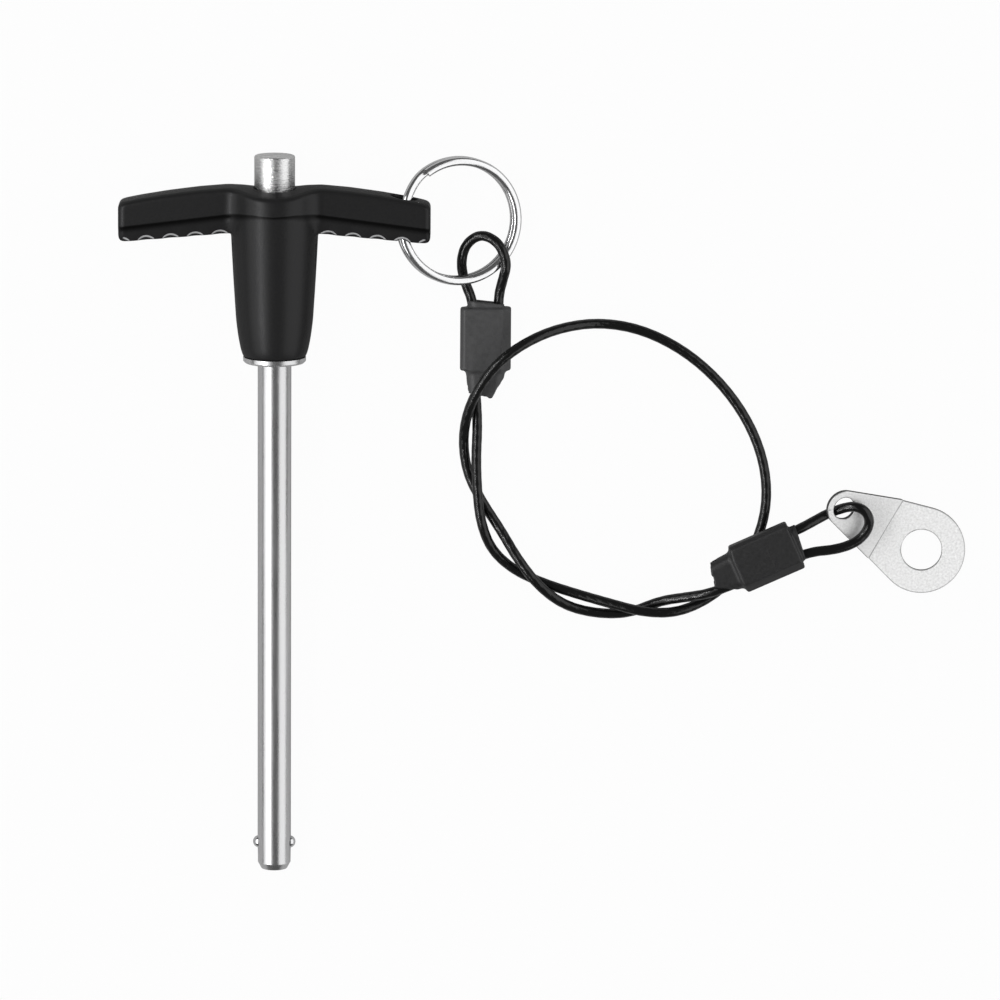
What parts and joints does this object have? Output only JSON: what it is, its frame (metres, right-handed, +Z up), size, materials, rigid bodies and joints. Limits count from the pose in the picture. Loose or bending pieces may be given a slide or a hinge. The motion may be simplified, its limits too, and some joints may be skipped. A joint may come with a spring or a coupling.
{
  "type": "ball lock pin",
  "caption": "Quick-release pin: T-handle with a push button, a round shank with locking balls near its tip, and a split ring with a coated wire lanyard and a mounting tab.",
  "frame": {"origin": "on the shank's axis at the underside of its shoulder", "axes": "+Y towards the handle, -Y towards the tip, +Z up; the part lies at rest on a floor 7.17 mm under the origin, so the pin's axis dips 2.37 degrees towards the tip, and the lanyard lies to +X"},
  "size_m": [0.1603, 0.1376, 0.0166],
  "materials": {
    "handle": "satin",
    "shank": "satin",
    "button": "satin",
    "balls": "polished",
    "spindle": "satin",
    "spring": "satin",
    "ring": "polished",
    "cable": "gloss",
    "ferrule": "satin",
    "sleeve": "matte",
    "tab": "satin"
  },
  "bodies": {
    "pin": {"handle": "handle", "shank": "shank", "spring": "spring"},
    "plunger": {"button": "button", "spindle": "spindle"},
    "left_ball": {"ball_left": "balls"},
    "right_ball": {"ball_right": "balls"},
    "lanyard": {"split_ring": "ring", "cable": "cable", "ferrule_ring_end": "ferrule", "ferrule_tab_end": "ferrule", "sleeve_ring_end": "sleeve", "sleeve_tab_end": "sleeve", "tab": "tab"}
  },
  "joints": [
    {"name": "button_press", "type": "slide", "parent": "pin", "child": "plunger", "axis": [0, -0.9991, -0.0413], "range_m": [0, 0.0026], "stiffness_N_per_m": 800, "deforming": ["spring"]},
    {"name": "ball_left_in", "type": "slide", "parent": "pin", "child": "left_ball", "axis": [1, 0, 0], "range_m": [0, 0.00095]},
    {"name": "ball_right_in", "type": "slide", "parent": "pin", "child": "right_ball", "axis": [-1, 0, 0], "range_m": [0, 0.00095]},
    {"name": "ring_swing", "type": "hinge", "parent": "pin", "child": "lanyard", "pos_m": [0.0242, 0.02808, 0.00116], "axis": [0, 0.9991, 0.0413], "range_deg": [-100, 100]}
  ],
  "couplings": [
    {"joint": "ball_left_in", "follows": "button_press", "ratio": 0.36539},
    {"joint": "ball_right_in", "follows": "button_press", "ratio": 0.36539}
  ]
}
